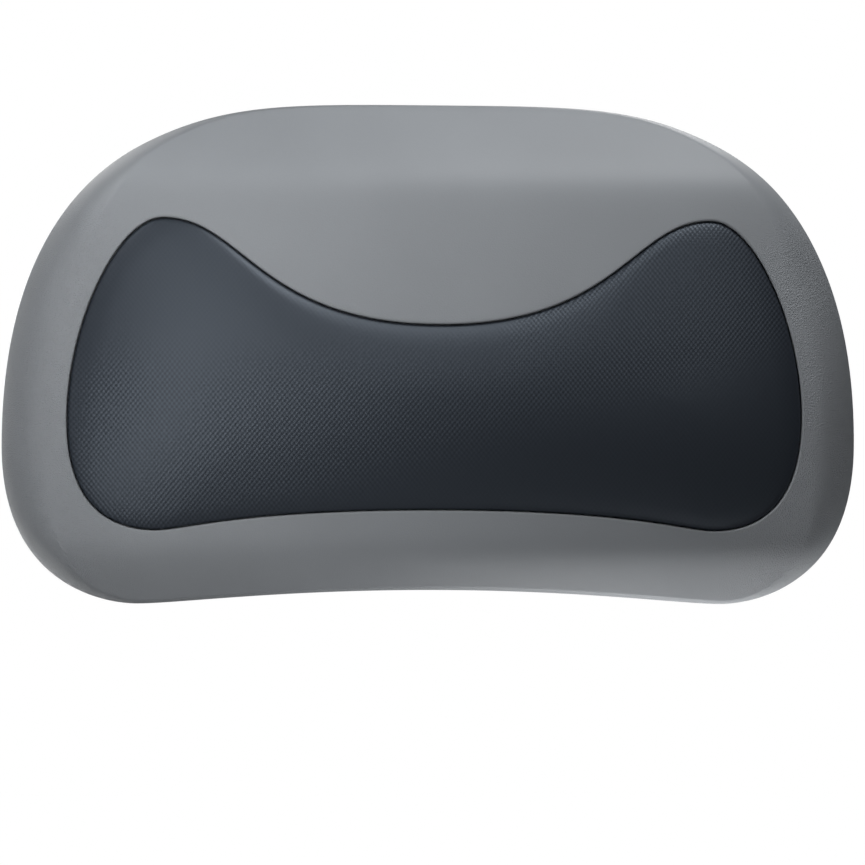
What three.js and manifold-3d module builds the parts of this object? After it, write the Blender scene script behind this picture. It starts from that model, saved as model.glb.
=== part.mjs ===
// A bath pillow: a skinned foam headrest with a sunken dark pad in its front. Its back panel holds
// four sockets, and in each socket a suction cup swivels and pulls out.
// Millimetres. It is modelled lying on its back: x across, y up the pillow, z from the back panel
// to the front. The outermost group stands it up with its front towards -Y and the suction plane at y = 0.
import * as THREE from 'three'
import { mergeVertices } from 'three/addons/utils/BufferGeometryUtils.js'
import Module from 'manifold-3d'

const wasm = await Module()
wasm.setup()

// Fits
const CLEARANCE = 0.3 // between a piece and its seat
const CUT_OVERRUN = 1 // how far a cutting tool runs past the face it opens

// Pillow outline: right half, from the top centre clockwise. A heading is in degrees from +x,
// and back and ahead are the lengths of the curve's handles.
const HALF_WIDTH = 165
const HEIGHT = 191.8 // from the feet to the top
const TOP_Y = 96
const SHOULDER_X = 112
const SHOULDER_FALL = 15.6 // below the top
const SHOULDER_HEADING = -28
const SIDE_Y = -35 // where the pillow is widest
const FOOT_X = 113
const BOTTOM_ARCH = 5.5 // how far the bottom's middle stands above the feet
const SHOULDER_Y = TOP_Y - SHOULDER_FALL
const FOOT_Y = TOP_Y - HEIGHT
const BOTTOM_Y = FOOT_Y + BOTTOM_ARCH
const TOP_AHEAD = 56
const SHOULDER_BACK = 34.5
const SHOULDER_AHEAD = 36
const SIDE_BACK = 62
const SIDE_AHEAD = 53
const FOOT_BACK = 14
const FOOT_AHEAD = 16
const BOTTOM_BACK = 58
const OUTLINE_KNOTS = [
  { x: 0, y: TOP_Y, heading: 0, ahead: TOP_AHEAD },
  { x: SHOULDER_X, y: SHOULDER_Y, heading: SHOULDER_HEADING, back: SHOULDER_BACK, ahead: SHOULDER_AHEAD },
  { x: HALF_WIDTH, y: SIDE_Y, heading: -90, back: SIDE_BACK, ahead: SIDE_AHEAD },
  { x: FOOT_X, y: FOOT_Y, heading: 180, back: FOOT_BACK, ahead: FOOT_AHEAD },
  { x: 0, y: BOTTOM_Y, heading: 180, back: BOTTOM_BACK },
]

// Width of the rim between the outline and the recess that holds the pad
const RIM_TOP = 85
const RIM_SHOULDER = 29.6
const RIM_SIDE = 25.5
const RIM_FOOT = 29
const RIM_BOTTOM = 31.4

// The recess's other places, and the lengths of its curve's handles
const LOBE_X = 103.5 // highest place of the recess
const RECESS_SIDE_Y = -25 // where the recess is widest
const RECESS_FOOT_X = 106 // lowest place of the recess
const DIP_AHEAD = 68
const LOBE_BACK = 30
const LOBE_AHEAD = 17
const RECESS_SIDE_BACK = 36
const RECESS_SIDE_AHEAD = 32
const RECESS_FOOT_BACK = 18
const RECESS_FOOT_AHEAD = 10.5
const RECESS_BOTTOM_BACK = 74
const RECESS_KNOTS = [
  { x: 0, y: TOP_Y - RIM_TOP, heading: 0, ahead: DIP_AHEAD },
  { x: LOBE_X, y: SHOULDER_Y - RIM_SHOULDER, heading: 0, back: LOBE_BACK, ahead: LOBE_AHEAD },
  {
    x: HALF_WIDTH - RIM_SIDE,
    y: RECESS_SIDE_Y,
    heading: -90,
    back: RECESS_SIDE_BACK,
    ahead: RECESS_SIDE_AHEAD,
  },
  { x: RECESS_FOOT_X, y: FOOT_Y + RIM_FOOT, heading: 180, back: RECESS_FOOT_BACK, ahead: RECESS_FOOT_AHEAD },
  { x: 0, y: BOTTOM_Y + RIM_BOTTOM, heading: 180, back: RECESS_BOTTOM_BACK },
]

// How finely the pillow's surfaces are divided
const CURVE_STEPS = [7, 5, 6, 6] // stations on a half outline's curves: as many above the side as below
const RIM_SHARES = [0, 0.4, 0.7, 0.88] // of the way from the recess to the rounded edge
const EDGE_ANGLES = [90, 60, 30, 0] // round the front edge, from the front to the outline
const BACK_ANGLES = [50, 90] // round the back edge, from the outline to the back
const INNER_RIM_SHARES = [0, 0.75]
const INNER_EDGE_ANGLES = [90, 42, 0]
const PAD_SHARES = [0.9, 0.65, 0.4] // of the way from the pad's rolled edge to its spine
const PAD_ROLL_ANGLES = [90, 60, 35, 15, 0]
const PLATEAU_SHARES = [0.9, 0.5, 0]

// Front of the pillow: a crown with a bevel along the top and one along the bottom
const CROWN_HEIGHT = 66 // above the back panel's back face
const CROWN_Y = 14 // the front stands straight above this and falls away below it
const CROWN_RADIUS_ACROSS = 750
const CROWN_RADIUS_DOWN = 450
const TOP_BEVEL = 30
const TOP_BEVEL_ANGLE = 38
const BOTTOM_BEVEL = 15
const BOTTOM_BEVEL_ANGLE = 38
const BEVEL_SOFTNESS = 3

// Edges of the pillow
const EDGE_HEIGHT = 14 // the outline's height above the back panel's back face
const EDGE_ROLL_ENDS = 2 // width of the rounded front edge along the top and bottom
const EDGE_ROLL_SIDES = 25 // and along the sides
const EDGE_LAND = 4 // least land between that rounding and the recess
const BACK_ROLL = 14

// Cover
const COVER_WALL = 2
const LIP_RADIUS = 1.5 // where the rim turns down into the recess
const RECESS_DEPTH = 8
const RECESS_FLANGE = 6
const RETURN_LIP = 12 // clamped between the carrier and the back panel

// Pad
const PAD_GROOVE = 0.5
const PAD_SKIN = 1.6
const PAD_ROLL = 10 // width of the pad's rolled edge, towards its spine
const PAD_DROP = 2.5 // how far the pad's rolled edge drops below the rim
const PAD_CROWN = 6 // how far the middle of the pad stands above the rim
const PAD_SPINE_Y = -16 // the pad's crown runs along this line
const PAD_SPINE_REACH = 0.6 // and ends at this part of the recess's width

// Back panel and carrier
const PANEL_THICKNESS = 3
const PANEL_REVEAL = 2 // width of cover that shows flat around the panel
const PANEL_BEVEL = 0.8
const CARRIER_THICKNESS = 4
const BOSS_RADIUS = 4.5
const BOSS_HEIGHT = 6

// Panel screws
const SCREW_RADIUS = 2
const SCREW_LENGTH = 12
const SCREW_TIP = 1.2
const SCREW_HEAD_RADIUS = 3.7
const SCREW_HEAD_LAND = 0.4
const SCREW_HEAD_HEIGHT = 2.2
const SCREW_SINK = 0.2 // below the panel's back face
const DRIVE_WIDTH = 1
const DRIVE_LENGTH = 4
const DRIVE_DEPTH = 1.2
const SCREW_LIP_DISTANCE = 7 // from the return lip's edge to a screw's axis
const SCREW_PLACES = [{ curve: 0, at: 0.42 }, { curve: 2, at: -0.14 }, { curve: 3, at: 0.6 }]

// Sockets
const SOCKET_BORE_RADIUS = 4.3
const SOCKET_BARREL_RADIUS = 6
const SOCKET_FLANGE_RADIUS = 10
const SOCKET_FLANGE_THICKNESS = 1.5
const SOCKET_CATCH = 0.9 // how far the snap catch stands out of the barrel
const SOCKET_CATCH_LENGTH = 1.8
const SOCKET_SLOT_WIDTH = 1.2

// Suction cups
const CUP_RADIUS = 22
const CUP_RIM_WIDTH = 1.5
const CUP_RIM_THICKNESS = 0.9
const CUP_DISH_DEPTH = 6.5
const CUP_DISH_FULLNESS = 13 // radius at which the dish starts to fall away
const CUP_SHOULDER_RADIUS = 14.5
const CUP_SHOULDER_HEIGHT = 6.5
const CUP_HUB_RADIUS = 7
const CUP_HUB_BASE = 9.4
const CUP_HUB_HEIGHT = 10.9
const CUP_STEM_CHAMFER = 0.6
const CUP_TAB_WIDTH = 9
const CUP_TAB_REACH = 7 // past the rim
const CUP_EDGE_DISTANCE = 45 // from the pillow's outline to a cup's axis
const CUP_PLACES = [
  { name: 'upper', curve: 1, at: 0 },
  { name: 'lower', curve: 2, at: 0.62 },
]

// Facets of round pieces
const ROUND_STEPS = 20
const SMALL_ROUND_STEPS = 12
const CUP_CURVE_STEPS = 4

// Heights above the back panel's back face, from the back to the front
const COVER_BACK = PANEL_THICKNESS + CLEARANCE
const CARRIER_BACK = COVER_BACK + COVER_WALL + CLEARANCE
const CARRIER_FRONT = CARRIER_BACK + CARRIER_THICKNESS
const FOAM_BACK = CARRIER_FRONT + CLEARANCE
const SOCKET_SEAT = -CLEARANCE
const SOCKET_BACK = SOCKET_SEAT - SOCKET_FLANGE_THICKNESS
const SUCTION_PLANE = SOCKET_BACK - CLEARANCE - CUP_HUB_HEIGHT
const CATCH_BACK = PANEL_THICKNESS + CLEARANCE
const SOCKET_FRONT = CATCH_BACK + SOCKET_CATCH_LENGTH

const COLOURS = {
  cover: { color: 0x8b8e92, roughness: 0.6 },
  pad: { color: 0x2b2f36, roughness: 0.7 },
  foam: { color: 0xd9d3c3, roughness: 0.95 },
  board: { color: 0x55585c, roughness: 0.6 },
  panel: { color: 0x3f4245, roughness: 0.55 },
  socket: { color: 0x2c2e31, roughness: 0.5 },
  cup: { color: 0xb9c2c6, roughness: 0.2 },
  steel: { color: 0xb4b6b8, roughness: 0.35, metalness: 1 },
}

// Solids

function toSolid(geometry) {
  const bare = geometry.clone()
  bare.deleteAttribute('normal')
  bare.deleteAttribute('uv')
  const merged = mergeVertices(bare)
  const vertProperties = merged.attributes.position.array
  const triVerts = new Uint32Array(merged.index.array)
  return new wasm.Manifold(new wasm.Mesh({ numProp: 3, vertProperties, triVerts }))
}

function toGeometry(solid) {
  const { vertProperties, triVerts } = solid.getMesh()
  const geometry = new THREE.BufferGeometry()
  geometry.setAttribute('position', new THREE.BufferAttribute(vertProperties, 3))
  geometry.setIndex(new THREE.BufferAttribute(triVerts, 1))
  geometry.computeVertexNormals()
  return geometry
}

function cut(geometry, tools) {
  return toGeometry(tools.reduce((solid, tool) => solid.subtract(toSolid(tool)), toSolid(geometry)))
}

function join(geometry, others) {
  return toGeometry(others.reduce((solid, other) => solid.add(toSolid(other)), toSolid(geometry)))
}

// A turned piece about the z axis. The profile runs anticlockwise as [radius, height] pairs.
function turned(profile, steps) {
  const points = profile.map(([radius, height]) => new THREE.Vector2(radius, height))
  return new THREE.LatheGeometry(points, steps).rotateX(Math.PI / 2)
}

function rod(radius, from, to, steps) {
  return turned([[0, from], [radius, from], [radius, to], [0, to]], steps)
}

function plate(shape, from, to, bevel) {
  const options = {
    depth: to - from - 2 * bevel,
    bevelEnabled: bevel > 0,
    bevelThickness: bevel,
    bevelSize: bevel,
    bevelOffset: -bevel,
    bevelSegments: 1,
    curveSegments: ROUND_STEPS / 2,
  }
  return new THREE.ExtrudeGeometry(shape, options).translate(0, 0, from + bevel)
}

function box(width, height, from, to) {
  return new THREE.BoxGeometry(width, height, to - from).translate(0, 0, (from + to) / 2)
}

// The faces that close a ring, which starts at its top: each point above is paired with the one below it.
function capFaces(start, count) {
  const half = count / 2
  const index = (i) => start + (i + count) % count
  const faces = []
  for (let i = -half / 2; i < half / 2; i++) {
    if (index(i) !== index(half - i)) faces.push([index(i), index(half - i), index(half - i - 1)])
    if (index(i + 1) !== index(half - i - 1)) faces.push([index(i), index(half - i - 1), index(i + 1)])
  }
  return faces
}

// A closed body from rings with the same number of points, with each four-sided face split along its shorter
// diagonal. A looped body joins its last ring to its first, and any other body is capped at both ends.
function ringBody(rings, looped) {
  const points = rings.flat()
  const count = rings[0].length
  const faces = []
  const bands = looped ? rings.length : rings.length - 1
  for (let band = 0; band < bands; band++) {
    const here = band * count
    const next = ((band + 1) % rings.length) * count
    for (let i = 0; i < count; i++) {
      const j = (i + 1) % count
      const forward = points[here + i].distanceTo(points[next + j])
      const backward = points[here + j].distanceTo(points[next + i])
      if (forward < backward) faces.push(here + i, here + j, next + j, here + i, next + j, next + i)
      else faces.push(here + i, here + j, next + i, here + j, next + j, next + i)
    }
  }
  if (!looped) {
    for (const [a, b, c] of capFaces(0, count)) faces.push(a, b, c)
    for (const [a, b, c] of capFaces((rings.length - 1) * count, count)) faces.push(a, c, b)
  }
  const geometry = new THREE.BufferGeometry().setFromPoints(points)
  geometry.setIndex(faces)
  geometry.computeVertexNormals()
  return geometry
}

// Outlines

function halfOutline(knots) {
  const alongHeading = ({ x, y, heading }, distance) => {
    const angle = THREE.MathUtils.degToRad(heading)
    return new THREE.Vector2(x + distance * Math.cos(angle), y + distance * Math.sin(angle))
  }
  return knots.slice(1).map((to, i) => {
    const from = knots[i]
    return new THREE.CubicBezierCurve(
      alongHeading(from, 0), alongHeading(from, from.ahead), alongHeading(to, -to.back), alongHeading(to, 0))
  })
}

const outlineCurves = halfOutline(OUTLINE_KNOTS)
const recessCurves = halfOutline(RECESS_KNOTS)

// A station is a place on the outline with its outward normal, the matching place on the recess's edge,
// and the ray and the rim's width between the two.
function station(curve, at) {
  const edge = outlineCurves[curve].getPoint(at)
  const tangent = outlineCurves[curve].getTangent(at)
  const normal = new THREE.Vector2(-tangent.y, tangent.x)
  const recess = recessCurves[curve].getPoint(at)
  const ray = edge.clone().sub(recess)
  const rim = ray.length()
  return { edge, normal, recess, ray: ray.normalize(), rim }
}

function mirrored({ edge, normal, recess, ray, rim }) {
  const flip = (v) => new THREE.Vector2(-v.x, v.y)
  return { edge: flip(edge), normal: flip(normal), recess: flip(recess), ray: flip(ray), rim }
}

function allStations() {
  const right = CURVE_STEPS.flatMap((steps, curve) =>
    Array.from({ length: steps }, (_, step) => station(curve, step / steps)))
  right.push(station(CURVE_STEPS.length - 1, 1))
  return [...right, ...right.slice(1, -1).reverse().map(mirrored)]
}

const STATIONS = allStations()

// A place given by curve number and share; a negative share counts back into the curve before.
function place({ curve, at }) {
  return at < 0 ? station(curve - 1, 1 + at) : station(curve, at)
}

const ring = (at) => STATIONS.map(at)
const raised = (point, height) => new THREE.Vector3(point.x, point.y, height)
const onRay = (s, distance) => s.recess.clone().addScaledVector(s.ray, distance)
const insetFrom = (s, distance) => s.edge.clone().addScaledVector(s.normal, -distance)

function insetShape(distance) {
  return new THREE.Shape(ring((s) => insetFrom(s, distance)).reverse())
}

function roundHole(centre, radius) {
  return new THREE.Path().absarc(centre.x, centre.y, radius, 0, 2 * Math.PI, true)
}

// Surfaces

const slopeOf = (degrees) => Math.tan(THREE.MathUtils.degToRad(degrees))
const bevelled = (past) => BEVEL_SOFTNESS * Math.log1p(Math.exp(past / BEVEL_SOFTNESS))

function frontHeight({ x, y }) {
  const across = x ** 2 / (2 * CROWN_RADIUS_ACROSS)
  const down = Math.max(0, CROWN_Y - y) ** 2 / (2 * CROWN_RADIUS_DOWN)
  const top = bevelled(y - (TOP_Y - TOP_BEVEL)) * slopeOf(TOP_BEVEL_ANGLE)
  const bottom = bevelled(BOTTOM_Y + BOTTOM_BEVEL - y) * slopeOf(BOTTOM_BEVEL_ANGLE)
  return CROWN_HEIGHT - across - down - top - bottom
}

const floorHeight = (point) => frontHeight(point) - RECESS_DEPTH

// The rim's front surface, sunk by depth into the body, from the recess's side to the outline: flat shares
// of the way to the rounded edge, then angles round that edge.
function rimRings(depth, start, shares, angles) {
  const run = (s) => s.rim - depth - start
  const roll = (s) => {
    const wanted = EDGE_ROLL_ENDS + (EDGE_ROLL_SIDES - EDGE_ROLL_ENDS) * s.normal.x ** 2
    return Math.min(wanted, run(s) - EDGE_LAND)
  }
  const flat = shares.map((share) => ring((s) => {
    const point = onRay(s, start + share * (run(s) - roll(s)))
    return raised(point, frontHeight(point) - depth)
  }))
  const round = angles.map((degrees) => ring((s) => {
    const angle = THREE.MathUtils.degToRad(degrees)
    const point = onRay(s, s.rim - depth - roll(s) * (1 - Math.cos(angle)))
    return raised(point, EDGE_HEIGHT + (frontHeight(point) - depth - EDGE_HEIGHT) * Math.sin(angle))
  }))
  return [...flat, ...round]
}

// The rounded back edge, sunk by depth, at angles from the outline to the back.
function backRings(depth, angles) {
  return angles.map((degrees) => ring((s) => {
    const angle = THREE.MathUtils.degToRad(degrees)
    const inset = depth + (BACK_ROLL - Math.min(depth, COVER_WALL)) * (1 - Math.cos(angle))
    const fall = EDGE_HEIGHT - COVER_BACK - Math.min(depth, COVER_WALL)
    return raised(insetFrom(s, inset), EDGE_HEIGHT - fall * Math.sin(angle))
  }))
}

const foamBackAngle = THREE.MathUtils.radToDeg(
  Math.asin((EDGE_HEIGHT - FOAM_BACK) / (EDGE_HEIGHT - COVER_BACK - COVER_WALL)))

const spinePoint = (s) => new THREE.Vector2(s.recess.x * PAD_SPINE_REACH, PAD_SPINE_Y)

// A ring inside the recess, by its share of the way from the ring at the given reach to the spine.
function recessRing(reach, share, height) {
  return ring((s) => {
    const point = onRay(s, reach).lerp(spinePoint(s), share)
    return raised(point, height(point, s))
  })
}

// The foam core fills the recess's floor inside the cover's flange.
const PLATEAU_REACH = -RECESS_FLANGE - CLEARANCE
const plateauRings = (height) => PLATEAU_SHARES.map((share) => recessRing(PLATEAU_REACH, share, height))

// Pieces

function outerCover() {
  const outside = [
    ring((s) => raised(onRay(s, -RECESS_FLANGE), floorHeight(onRay(s, -RECESS_FLANGE)))),
    ring((s) => raised(onRay(s, 0), floorHeight(onRay(s, 0)))),
    ring((s) => raised(onRay(s, 0), frontHeight(onRay(s, 0)) - LIP_RADIUS)),
    ...rimRings(0, LIP_RADIUS, RIM_SHARES, EDGE_ANGLES),
    ...backRings(0, BACK_ANGLES),
    ring((s) => raised(insetFrom(s, BACK_ROLL + RETURN_LIP), COVER_BACK)),
  ]
  const inside = [
    ring((s) => raised(insetFrom(s, BACK_ROLL + RETURN_LIP), COVER_BACK + COVER_WALL)),
    ...backRings(COVER_WALL, [90, foamBackAngle]),
    ...rimRings(COVER_WALL, COVER_WALL, INNER_RIM_SHARES, INNER_EDGE_ANGLES).reverse(),
    ring((s) => raised(onRay(s, COVER_WALL), floorHeight(onRay(s, COVER_WALL)) - COVER_WALL)),
    ring((s) => raised(onRay(s, -RECESS_FLANGE), floorHeight(onRay(s, -RECESS_FLANGE)) - COVER_WALL)),
  ]
  return ringBody([...outside, ...inside], true)
}

function foamCore() {
  const depth = COVER_WALL + CLEARANCE
  const underFlange = (point) => floorHeight(point) - depth
  const body = ringBody([
    ...plateauRings(floorHeight),
    recessRing(PLATEAU_REACH, 0, underFlange),
    ring((s) => raised(onRay(s, depth), underFlange(onRay(s, depth)))),
    ...rimRings(depth, depth, INNER_RIM_SHARES, INNER_EDGE_ANGLES),
    ...backRings(depth, [foamBackAngle]),
  ], false)
  const pocketTop = CARRIER_FRONT + BOSS_HEIGHT + CLEARANCE
  const pocket = ({ x, y }) =>
    rod(BOSS_RADIUS + CLEARANCE, FOAM_BACK - CUT_OVERRUN, pocketTop, SMALL_ROUND_STEPS).translate(x, y, 0)
  return cut(body, screwPoints.map(pocket))
}

// The pad's outer surface, sunk by depth: rings from its spine out to its edge.
function padTopRings(depth) {
  const padRing = (shareFrom, drop) => ring((s) => {
    const edge = onRay(s, -PAD_GROOVE - depth)
    const share = shareFrom(PAD_ROLL / spinePoint(s).distanceTo(edge))
    const point = edge.lerp(spinePoint(s), share)
    return raised(point, frontHeight(point) + PAD_CROWN * (1 - (1 - share) ** 2) - drop - depth)
  })
  const inner = PAD_SHARES.map((share) => padRing((roll) => roll + (1 - roll) * share, 0))
  const rolled = PAD_ROLL_ANGLES.map((degrees) => {
    const angle = THREE.MathUtils.degToRad(degrees)
    return padRing((roll) => roll * (1 - Math.cos(angle)), PAD_DROP * (1 - Math.sin(angle)))
  })
  return [...inner, ...rolled]
}

function padSkin() {
  const seat = (point) => floorHeight(point) + CLEARANCE
  return ringBody([
    ...padTopRings(0),
    recessRing(-PAD_GROOVE, 0, seat),
    recessRing(-PAD_GROOVE - PAD_SKIN, 0, seat),
    ...padTopRings(PAD_SKIN).reverse(),
  ], false)
}

function padFoam() {
  const depth = PAD_SKIN + CLEARANCE
  const seat = (point) => floorHeight(point) + CLEARANCE
  return ringBody([
    ...padTopRings(depth),
    recessRing(-PAD_GROOVE - depth, 0, seat),
    ...plateauRings(seat).reverse(),
  ], false)
}

function bothSides(places, inset) {
  return places.flatMap((spot) => {
    const point = insetFrom(place(spot), inset)
    return [new THREE.Vector2(-point.x, point.y), point]
  })
}

const screwPoints = bothSides(SCREW_PLACES, BACK_ROLL + RETURN_LIP + SCREW_LIP_DISTANCE)
const cupPoints = bothSides(CUP_PLACES, CUP_EDGE_DISTANCE)

function carrierPlate() {
  const shape = insetShape(BACK_ROLL + CLEARANCE)
  const socketRoom = SOCKET_BARREL_RADIUS + SOCKET_CATCH + 2 * CLEARANCE
  shape.holes = cupPoints.map((point) => roundHole(point, socketRoom))
  const board = plate(shape, CARRIER_BACK, CARRIER_FRONT, 0)
  const bosses = screwPoints.map(({ x, y }) =>
    rod(BOSS_RADIUS, CARRIER_BACK, CARRIER_FRONT + BOSS_HEIGHT, SMALL_ROUND_STEPS).translate(x, y, 0))
  const pilotTop = SCREW_SINK + SCREW_LENGTH + CLEARANCE
  const pilots = screwPoints.map(({ x, y }) =>
    rod(SCREW_RADIUS + CLEARANCE, CARRIER_BACK - CUT_OVERRUN, pilotTop, SMALL_ROUND_STEPS).translate(x, y, 0))
  return cut(join(board, bosses), pilots)
}

function backPanel() {
  const shape = insetShape(BACK_ROLL + PANEL_REVEAL)
  shape.holes = cupPoints.map((point) => roundHole(point, SOCKET_BARREL_RADIUS + CLEARANCE))
  const board = plate(shape, 0, PANEL_THICKNESS, PANEL_BEVEL)
  const shank = SCREW_RADIUS + CLEARANCE
  const head = SCREW_HEAD_RADIUS + CLEARANCE
  const landTop = SCREW_SINK + SCREW_HEAD_LAND
  const countersink = [
    [0, -CUT_OVERRUN], [head, -CUT_OVERRUN], [head, landTop], [shank, SCREW_SINK + SCREW_HEAD_HEIGHT],
    [shank, PANEL_THICKNESS + CUT_OVERRUN], [0, PANEL_THICKNESS + CUT_OVERRUN],
  ]
  return cut(board, screwPoints.map(({ x, y }) => turned(countersink, SMALL_ROUND_STEPS).translate(x, y, 0)))
}

function panelScrew() {
  const end = SCREW_SINK + SCREW_LENGTH
  const body = turned([
    [0, SCREW_SINK], [SCREW_HEAD_RADIUS, SCREW_SINK],
    [SCREW_HEAD_RADIUS, SCREW_SINK + SCREW_HEAD_LAND], [SCREW_RADIUS, SCREW_SINK + SCREW_HEAD_HEIGHT],
    [SCREW_RADIUS, end - SCREW_TIP], [0, end],
  ], SMALL_ROUND_STEPS)
  const driveTop = SCREW_SINK + DRIVE_DEPTH
  return cut(body, [
    box(DRIVE_LENGTH, DRIVE_WIDTH, SCREW_SINK - CUT_OVERRUN, driveTop),
    box(DRIVE_WIDTH, DRIVE_LENGTH, SCREW_SINK - CUT_OVERRUN, driveTop),
  ])
}

function cupSocket() {
  const catchRadius = SOCKET_BARREL_RADIUS + SOCKET_CATCH
  const barrel = turned([
    [SOCKET_BORE_RADIUS, SOCKET_BACK], [SOCKET_FLANGE_RADIUS, SOCKET_BACK],
    [SOCKET_FLANGE_RADIUS, SOCKET_SEAT], [SOCKET_BARREL_RADIUS, SOCKET_SEAT],
    [SOCKET_BARREL_RADIUS, CATCH_BACK], [catchRadius, CATCH_BACK], [SOCKET_BARREL_RADIUS, SOCKET_FRONT],
    [SOCKET_BORE_RADIUS, SOCKET_FRONT], [SOCKET_BORE_RADIUS, SOCKET_BACK],
  ], ROUND_STEPS)
  const across = 2 * catchRadius + CUT_OVERRUN
  return cut(barrel, [
    box(across, SOCKET_SLOT_WIDTH, 0, SOCKET_FRONT + CUT_OVERRUN),
    box(SOCKET_SLOT_WIDTH, across, 0, SOCKET_FRONT + CUT_OVERRUN),
  ])
}

// A suction cup with its rim in the plane z = 0 and its stem upwards.
function suctionCup() {
  const rimInside = CUP_RADIUS - CUP_RIM_WIDTH
  const stemRadius = SOCKET_BORE_RADIUS - CLEARANCE
  const stemTop = SOCKET_FRONT - CLEARANCE - SUCTION_PLANE
  const curve = (from, through, to) => new THREE.QuadraticBezierCurve(
    new THREE.Vector2(...from), new THREE.Vector2(...through), new THREE.Vector2(...to))
  const dish = curve([0, CUP_DISH_DEPTH], [CUP_DISH_FULLNESS, CUP_DISH_DEPTH], [rimInside, 0])
  const back = curve(
    [CUP_RADIUS, CUP_RIM_THICKNESS],
    [CUP_SHOULDER_RADIUS, CUP_SHOULDER_HEIGHT],
    [CUP_HUB_RADIUS, CUP_HUB_BASE])
  const body = turned([
    ...dish.getPoints(CUP_CURVE_STEPS).map((point) => point.toArray()),
    [CUP_RADIUS, 0],
    ...back.getPoints(CUP_CURVE_STEPS).map((point) => point.toArray()),
    [CUP_HUB_RADIUS, CUP_HUB_HEIGHT], [stemRadius, CUP_HUB_HEIGHT],
    [stemRadius, stemTop - CUP_STEM_CHAMFER], [stemRadius - CUP_STEM_CHAMFER, stemTop], [0, stemTop],
  ], ROUND_STEPS)
  const half = CUP_TAB_WIDTH / 2
  const roundCentre = half - CUP_RADIUS - CUP_TAB_REACH
  const tab = new THREE.Shape()
    .moveTo(half, -rimInside)
    .lineTo(-half, -rimInside)
    .absarc(0, roundCentre, half, Math.PI, 2 * Math.PI, false)
    .closePath()
  return join(body, [plate(tab, 0, CUP_RIM_THICKNESS, 0)])
}

// Assembly

function piece(name, geometry, finish) {
  const mesh = new THREE.Mesh(geometry, new THREE.MeshStandardMaterial(finish))
  mesh.name = name
  return mesh
}

const pillow = new THREE.Group()
pillow.add(
  piece('outer_cover', outerCover(), COLOURS.cover),
  piece('foam_core', foamCore(), COLOURS.foam),
  piece('pad_skin', padSkin(), COLOURS.pad),
  piece('pad_foam', padFoam(), COLOURS.foam),
  piece('carrier_plate', carrierPlate(), COLOURS.board),
  piece('back_panel', backPanel(), COLOURS.panel),
)

screwPoints.forEach(({ x, y }, i) => {
  const screw = piece(`panel_screw_${i + 1}`, panelScrew(), COLOURS.steel)
  screw.position.set(x, y, 0)
  pillow.add(screw)
})

cupPoints.forEach(({ x, y }, i) => {
  const name = `${CUP_PLACES[i >> 1].name}_${x < 0 ? 'left' : 'right'}`
  const socket = piece(`cup_socket_${name}`, cupSocket(), COLOURS.socket)
  const cup = piece(`suction_cup_${name}`, suctionCup(), COLOURS.cup)
  cup.position.z = SUCTION_PLANE
  const mounting = new THREE.Group()
  mounting.position.set(x, y, 0)
  mounting.add(socket, cup)
  pillow.add(mounting)
})

pillow.rotation.x = Math.PI / 2
pillow.position.y = SUCTION_PLANE

const bathPillow = new THREE.Group()
bathPillow.name = 'bath_pillow'
bathPillow.add(pillow)

export default bathPillow
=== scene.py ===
# A bath pillow: a moulded grey headrest with a sunken woven pad in its front, and suction cups behind it.
# The fine surfaces are worked out in millimetres with the pillow lying on its back: x across, y up the
# pillow, z from the back panel to the front. They are then stood up into the frame, in metres.
import math
from collections import namedtuple

import bmesh
import bpy
import numpy as np
from mathutils import Matrix, Vector


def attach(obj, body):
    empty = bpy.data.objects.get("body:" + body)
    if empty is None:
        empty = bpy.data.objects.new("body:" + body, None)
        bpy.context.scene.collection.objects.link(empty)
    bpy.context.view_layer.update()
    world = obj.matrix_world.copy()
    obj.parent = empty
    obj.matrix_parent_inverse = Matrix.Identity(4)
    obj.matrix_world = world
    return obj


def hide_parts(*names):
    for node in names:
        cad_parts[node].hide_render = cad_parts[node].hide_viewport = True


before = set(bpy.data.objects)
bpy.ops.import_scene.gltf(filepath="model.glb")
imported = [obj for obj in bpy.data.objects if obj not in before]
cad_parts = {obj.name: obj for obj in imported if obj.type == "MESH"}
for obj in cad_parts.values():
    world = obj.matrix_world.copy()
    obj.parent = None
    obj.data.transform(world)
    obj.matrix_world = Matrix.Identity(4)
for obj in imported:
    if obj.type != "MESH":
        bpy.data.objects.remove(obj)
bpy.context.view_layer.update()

MM = 0.001
CLEARANCE = 0.3

# Outlines of the pillow and of its recess: right half, from the top centre clockwise. A heading is in
# degrees from +x, and back and ahead are the lengths of the curve's handles.
Knot = namedtuple("Knot", "x y heading back ahead")
OUTLINE_KNOTS = [
    Knot(0, 96, 0, 0, 56),
    Knot(112, 80.4, -28, 34.5, 36),
    Knot(165, -35, -90, 62, 53),
    Knot(113, -95.8, 180, 14, 16),
    Knot(0, -90.3, 180, 58, 0),
]
RECESS_KNOTS = [
    Knot(0, 11, 0, 0, 68),
    Knot(103.5, 50.8, 0, 30, 17),
    Knot(139.5, -25, -90, 36, 32),
    Knot(106, -66.8, 180, 18, 10.5),
    Knot(0, -58.9, 180, 74, 0),
]
TOP_Y = OUTLINE_KNOTS[0].y
BOTTOM_Y = OUTLINE_KNOTS[-1].y

# Front of the pillow
CROWN_HEIGHT = 66
CROWN_Y = 14
CROWN_RADIUS_ACROSS = 750
CROWN_RADIUS_DOWN = 450
TOP_BEVEL = 30
TOP_BEVEL_ANGLE = 38
BOTTOM_BEVEL = 15
BOTTOM_BEVEL_ANGLE = 38
BEVEL_SOFTNESS = 3

# Edges of the pillow
EDGE_HEIGHT = 14
EDGE_ROLL_ENDS = 2
EDGE_ROLL_SIDES = 25
EDGE_LAND = 4
BACK_ROLL = 14

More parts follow.
